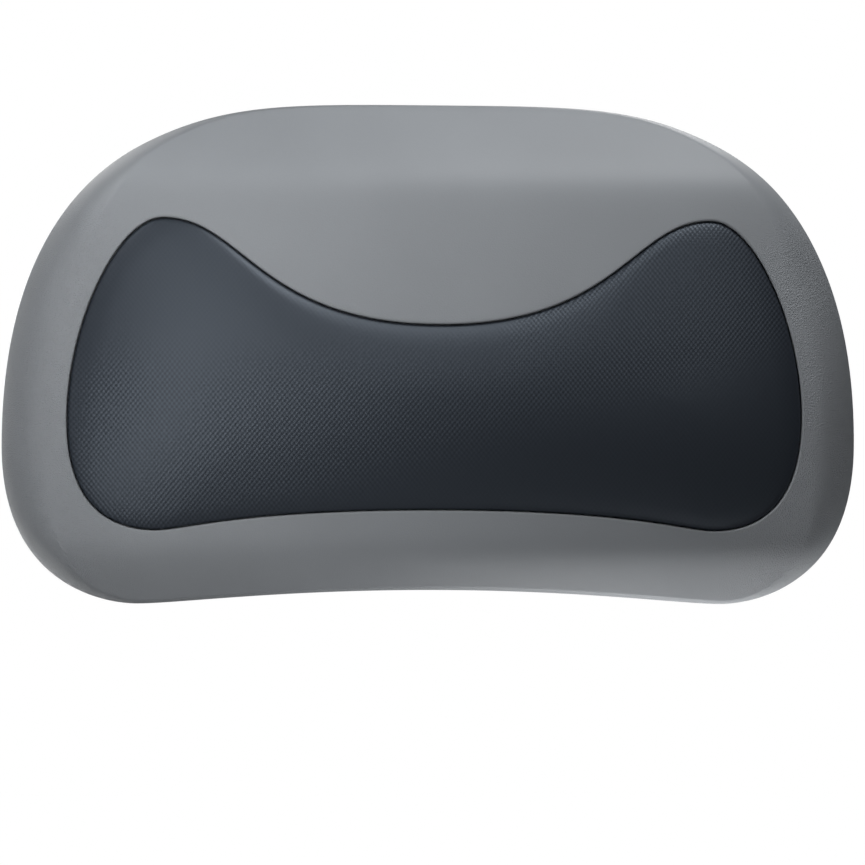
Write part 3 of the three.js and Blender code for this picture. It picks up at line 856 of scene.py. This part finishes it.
CUP_IOR = 1.52
CUP_TRANSMISSION = 0.85
CUP_DARK = (0.72, 0.78, 0.80)
CUP_LIGHT = (0.82, 0.87, 0.88)
CUP_ROUGHNESS = (0.12, 0.24)
CUP_FLOW_SCALE = 0.12
CUP_FLOW_RELIEF = 0.15

STEEL_DARK = (0.42, 0.42, 0.43)
STEEL_LIGHT = (0.62, 0.62, 0.61)
STEEL_ROUGHNESS = (0.24, 0.42)
STEEL_WEAR_SCALE = 1.8
STEEL_WEAR_DETAIL = 4.0
STEEL_WEAR_ROUGHNESS = 0.65
STEEL_WEAR_RELIEF = 0.01


def pebble_depth(tree, place):
    """How deep the pebble grain is: it is full low at the sides and faint in the middle and at the top."""
    axes = add(tree, "SeparateXYZ", {0: place}).outputs
    sideways = calculate(tree, "ABSOLUTE", axes["X"])
    aside = spread(tree, sideways, PEBBLE_FAINTEST, 1, *PEBBLE_SIDE_FADE)
    below = spread(tree, axes["Z"], 1, PEBBLE_FAINTEST, *PEBBLE_TOP_FADE)
    return calculate(tree, "MULTIPLY", aside, below)


def cover_material():
    """Matt moulded skin with a fine pebble grain and a slow change of tone, with the fine grain painted
    darker in its valleys as shade.
    """
    material, tree, shader = new_material("grey_skin", IOR=COVER_IOR)
    place = millimetres(tree)
    from_edge = cells(tree, place, PEBBLE_SCALE, "DISTANCE_TO_EDGE")
    domes = spread(tree, from_edge, 0, 1, 0, PEBBLE_EDGE)
    pebbles = calculate(tree, "MULTIPLY", domes, pebble_depth(tree, place))
    grain = noise(tree, place, COVER_GRAIN_SCALE, COVER_GRAIN_DETAIL)
    slow_tone = spread(tree, noise(tree, place, COVER_TONE_SCALE), 0, COVER_TONE_SHARE)
    # Painted shade: the fine grain is darker where its bump sinks and lighter where it rises.
    grain_painted_shade = spread(tree, grain, 0, 1 - COVER_TONE_SHARE)
    tone_and_painted_shade = calculate(tree, "ADD", slow_tone, grain_painted_shade)
    wire(tree, shader, {
        "Base Color": blend_colours(tree, tone_and_painted_shade, COVER_DARK, COVER_LIGHT),
        "Roughness": spread(tree, grain, *COVER_ROUGHNESS),
        "Normal": bump(tree, grain, COVER_GRAIN_RELIEF, bump(tree, pebbles, PEBBLE_RELIEF)),
    })
    return material


def weave_depth(tree, x, z):
    """How deep the weave is: it is full in a band that climbs to the right and faint below and above it."""
    low_line = calculate(tree, "MULTIPLY", x, WEAVE_LOW_SLOPE)
    above = calculate(tree, "SUBTRACT", z, low_line)
    past = calculate(tree, "MAXIMUM", calculate(tree, "SUBTRACT", x, WEAVE_HIGH_START), 0.0)
    high_line = calculate(tree, "MULTIPLY", past, WEAVE_HIGH_SLOPE)
    beyond = calculate(tree, "SUBTRACT", z, high_line)
    low = spread(tree, above, WEAVE_FAINTEST, 1, *WEAVE_LOW_FADE)
    high = spread(tree, beyond, 1, WEAVE_FAINTEST, *WEAVE_HIGH_FADE)
    return calculate(tree, "MULTIPLY", low, high)


def pad_material():
    """Charcoal technical fabric with a fine diamond weave, painted darker in its hollows and lighter on its
    thread tops as shade and light.
    """
    material, tree, shader = new_material(
        "woven_pad", Specular_IOR_Level=PAD_SPECULAR, Specular_Tint=PAD_SPECULAR_TINT)
    place = millimetres(tree)
    wander = noise(tree, place, WEAVE_WANDER_SCALE, WEAVE_WANDER_DETAIL)
    axes = add(tree, "SeparateXYZ", {0: place}).outputs
    sideways = calculate(tree, "MULTIPLY", axes["X"], 2 * math.pi / WEAVE_PITCH_ACROSS)
    upwards = calculate(tree, "MULTIPLY", axes["Z"], 2 * math.pi / WEAVE_PITCH_UP)

    def threads(operation):
        phase = calculate(tree, operation, sideways, upwards)
        return calculate(tree, "SINE", calculate(tree, "ADD", phase, wander))

    weave = calculate(tree, "ADD", threads("ADD"), threads("SUBTRACT"))
    faded = calculate(tree, "MULTIPLY", weave, weave_depth(tree, axes["X"], axes["Z"]))
    # Two waves of threads add up to between -2 and 2.
    height = spread(tree, faded, 0, 1, -2, 2)
    wire(tree, shader, {
        # Painted shade and light: the weave's height makes its hollows darker and its thread tops lighter.
        "Base Color": blend_colours(tree, height, PAD_DARK, PAD_LIGHT),
        "Roughness": spread(tree, height, *PAD_ROUGHNESS, 0, 1),
        "Normal": bump(tree, height, WEAVE_RELIEF),
    })
    return material


def foam_material():
    """Cream open-cell foam."""
    material, tree, shader = new_material("foam", Roughness=FOAM_ROUGHNESS)
    place = millimetres(tree)
    tone = spread(tree, noise(tree, place, FOAM_TONE_SCALE), 0, 1)
    wire(tree, shader, {
        "Base Color": blend_colours(tree, tone, FOAM_DARK, FOAM_LIGHT),
        "Normal": bump(tree, cells(tree, place, FOAM_CELL_SCALE, "SMOOTH_F1"), FOAM_CELL_RELIEF),
    })
    return material


def moulded_material(plastic):
    """Moulded plastic with a spark-eroded texture."""
    material, tree, shader = new_material(plastic.name)
    place = millimetres(tree)
    grain = noise(tree, place, plastic.grain_scale, PLASTIC_GRAIN_DETAIL, PLASTIC_GRAIN_ROUGHNESS)
    tone = spread(tree, noise(tree, place, PLASTIC_TONE_SCALE), 0, 1)
    smoothest = plastic.roughness - PLASTIC_SMOOTHER
    roughest = plastic.roughness + PLASTIC_ROUGHER
    wire(tree, shader, {
        "Base Color": blend_colours(tree, tone, plastic.dark, plastic.light),
        "Roughness": spread(tree, grain, smoothest, roughest),
        "Normal": bump(tree, grain, plastic.relief),
    })
    return material


def cup_material():
    """Clear soft plastic with a faint smoky tint and slightly uneven gloss."""
    material, tree, shader = new_material("cup_rubber", IOR=CUP_IOR, Transmission_Weight=CUP_TRANSMISSION)
    flow = noise(tree, millimetres(tree), CUP_FLOW_SCALE)
    wire(tree, shader, {
        "Base Color": blend_colours(tree, spread(tree, flow, 0, 1), CUP_DARK, CUP_LIGHT),
        "Roughness": spread(tree, flow, *CUP_ROUGHNESS),
        "Normal": bump(tree, flow, CUP_FLOW_RELIEF),
    })
    return material


def steel_material():
    """Plated steel with fine wear."""
    material, tree, shader = new_material("screw_steel", Metallic=1.0)
    wear = noise(tree, millimetres(tree), STEEL_WEAR_SCALE, STEEL_WEAR_DETAIL, STEEL_WEAR_ROUGHNESS)
    wire(tree, shader, {
        "Base Color": blend_colours(tree, spread(tree, wear, 0, 1), STEEL_DARK, STEEL_LIGHT),
        "Roughness": spread(tree, wear, *STEEL_ROUGHNESS),
        "Normal": bump(tree, wear, STEEL_WEAR_RELIEF),
    })
    return material


# Assembly

def paint(piece, material):
    piece.data.materials.clear()
    piece.data.materials.append(material)


def dress(piece, body, slot, material, *nodes):
    """Puts a piece on its body in place of CAD nodes and gives it its finish."""
    paint(piece, material)
    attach(piece, body)
    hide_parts(*nodes)
    return piece


def build_pillow():
    foam = foam_material()
    steel = steel_material()
    cover = dress(outer_cover(), "pillow", "cover_skin", cover_material(), "outer_cover")
    core = dress(foam_core(), "pillow", "foam", foam, "foam_core")
    pad = dress(pad_skin(), "pillow", "pad_skin", pad_material(), "pad_skin")
    filling = dress(pad_foam(), "pillow", "foam", foam, "pad_foam")
    dress(back_panel(), "pillow", "panel_plastic", moulded_material(PANEL_PLASTIC), "back_panel")
    for i, point in enumerate(SCREW_POINTS, 1):
        dress(panel_screw(f"screw_{i}", point), "pillow", "screw_steel", steel, f"panel_screw_{i}")
    paint(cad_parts["carrier_plate"], moulded_material(CARRIER_PLASTIC))


def build_cups():
    rubber = cup_material()
    nylon = moulded_material(SOCKET_PLASTIC)
    places = [f"{level}_{side}" for level in CUP_PLACES for side in ("left", "right")]
    for place, point in zip(places, CUP_POINTS):
        socket = cup_socket(f"socket_{place}", point)
        dress(socket, f"socket_{place}", "socket_plastic", nylon, f"cup_socket_{place}")
        cup = suction_cup(f"cup_{place}", point)
        dress(cup, f"cup_{place}", "cup_rubber", rubber, f"suction_cup_{place}")


# Studio

# Places are in metres, powers in watts and angles in degrees. Azimuth 0 is in front of the pillow, and a
# negative azimuth is to the left in the camera's view. The lens and the sensor are in millimetres.
CAMERA_LENS = 172
CAMERA_SENSOR = 36
CAMERA_AZIMUTH = -3.87
CAMERA_ROLL = 0.21
CAMERA_DISTANCE = 1.6
CAMERA_TARGET = (0.001, -0.027, -0.0296)

BACKDROP_GLOW = 1.0
FLOOR_GLOW = 0.02
FLOOR_HEIGHT = -0.7
FLOOR_REACH = 6
FLOOR_ROUGHNESS = 0.9
FLOOR_DARK = (0.82, 0.82, 0.82)
FLOOR_LIGHT = (0.84, 0.84, 0.84)
FLOOR_TONE_SCALE = 3.0

NEAR = 0.32
FAR = 0.55
SOFTBOX_SPREAD = 0.364
SOFTBOX_AIM = (0, -0.04, 0)
Softbox = namedtuple("Softbox", "name azimuth elevation distance power")
SOFTBOXES = [
    Softbox("right_high", 58, 55, FAR, 1.3),
    Softbox("right_middle", 32, 13, FAR, 0.25),
    Softbox("left_low", -44, -30, FAR, 0.37),
    Softbox("left_side", -85, 0, FAR, 0.23),
    Softbox("near_left_high", -75, 35, NEAR, 0.19),
    Softbox("near_left_middle", -35, 10, NEAR, 0.1),
    Softbox("near_left_low", -35, -12, NEAR, 0.17),
    Softbox("near_front_high", -15, 35, NEAR, 0.1),
    Softbox("near_front_middle", -15, 10, NEAR, 0.08),
    Softbox("near_top", 10, 60, NEAR, 0.16),
    Softbox("back_left_high", -150, 25, FAR, 0.4),
    Softbox("back_left_middle", -140, 0, FAR, 0.2),
    Softbox("back_left_low", -145, -22, FAR, 0.5),
    Softbox("back_right_high", 150, 40, FAR, 0.7),
    Softbox("back_right_low", 150, -35, FAR, 0.2),
]

LOW_CARD_SIDE = 0.1
LOW_CARD_HEIGHT = -0.2
LowCard = namedtuple("LowCard", "name x power")
LOW_CARDS = [
    LowCard("low_middle", 0.06, 0.13),
    LowCard("low_right", 0.12, 0.06),
    LowCard("low_far_right", 0.2, 0.12),
]


def make_camera():
    data = bpy.data.cameras.new("camera")
    data.lens = CAMERA_LENS
    data.sensor_width = CAMERA_SENSOR
    camera = placed("camera", data)
    azimuth = math.radians(CAMERA_AZIMUTH)
    back = Vector((math.sin(azimuth), -math.cos(azimuth), 0))
    aim = (-back).to_track_quat("-Z", "Y").to_matrix().to_4x4()
    roll = Matrix.Rotation(math.radians(CAMERA_ROLL), 4, "Z")
    camera.location = Vector(CAMERA_TARGET) + back * CAMERA_DISTANCE
    camera.rotation_euler = (aim @ roll).to_euler()
    bpy.context.scene.camera = camera


def make_floor():
    """A wide pale floor that the camera sees as bright as the backdrop."""
    sides = [(-1, -1), (1, -1), (1, 1), (-1, 1)]
    corners = [(x * FLOOR_REACH, y * FLOOR_REACH, FLOOR_HEIGHT) for x, y in sides]
    mesh = bpy.data.meshes.new("floor")
    mesh.from_pydata(corners, [], [(0, 1, 2, 3)])
    floor = placed("floor", mesh)
    material, tree, shader = new_material("floor", Roughness=FLOOR_ROUGHNESS, Emission_Color=WHITE)
    tone = noise(tree, add(tree, "TexCoord").outputs["Object"], FLOOR_TONE_SCALE)
    wire(tree, shader, {
        "Base Color": blend_colours(tree, spread(tree, tone, 0, 1), FLOOR_DARK, FLOOR_LIGHT),
        "Emission Strength": glow(tree, FLOOR_GLOW, BACKDROP_GLOW),
    })
    mesh.materials.append(material)


def make_world():
    """A white backdrop that gives no light of its own."""
    world = bpy.data.worlds.new("studio")
    bpy.context.scene.world = world
    world.use_nodes = True
    tree = world.node_tree
    tree.nodes.clear()
    backdrop = add(tree, "Background", {"Color": WHITE, "Strength": glow(tree, 0, BACKDROP_GLOW)})
    add(tree, "OutputWorld", {"Surface": backdrop.outputs[0]})


def make_light(name, side, power):
    """A square light that the camera doesn't see."""
    data = bpy.data.lights.new(name, "AREA")
    data.shape = "SQUARE"
    data.size = side
    data.energy = power
    light = placed(name, data)
    light.visible_camera = False
    return light


def softbox(box):
    """A light aimed at the pillow, wider the farther it stands."""
    light = make_light(box.name, SOFTBOX_SPREAD * box.distance, box.power)
    azimuth = math.radians(box.azimuth)
    elevation = math.radians(box.elevation)
    level = math.cos(elevation)
    away = Vector((math.sin(azimuth) * level, -math.cos(azimuth) * level, math.sin(elevation)))
    light.location = Vector(SOFTBOX_AIM) + away * box.distance
    light.rotation_euler = away.to_track_quat("Z", "Y").to_euler()


def low_card(card):
    """A light under the pillow that shines upwards."""
    light = make_light(card.name, LOW_CARD_SIDE, card.power)
    light.location = (card.x, 0, LOW_CARD_HEIGHT)
    light.rotation_euler = (math.pi, 0, 0)


def make_lights():
    for box in SOFTBOXES:
        softbox(box)
    for card in LOW_CARDS:
        low_card(card)


make_camera()
make_floor()
make_world()
make_lights()
bpy.context.scene.view_settings.view_transform = "Standard"

build_pillow()
build_cups()
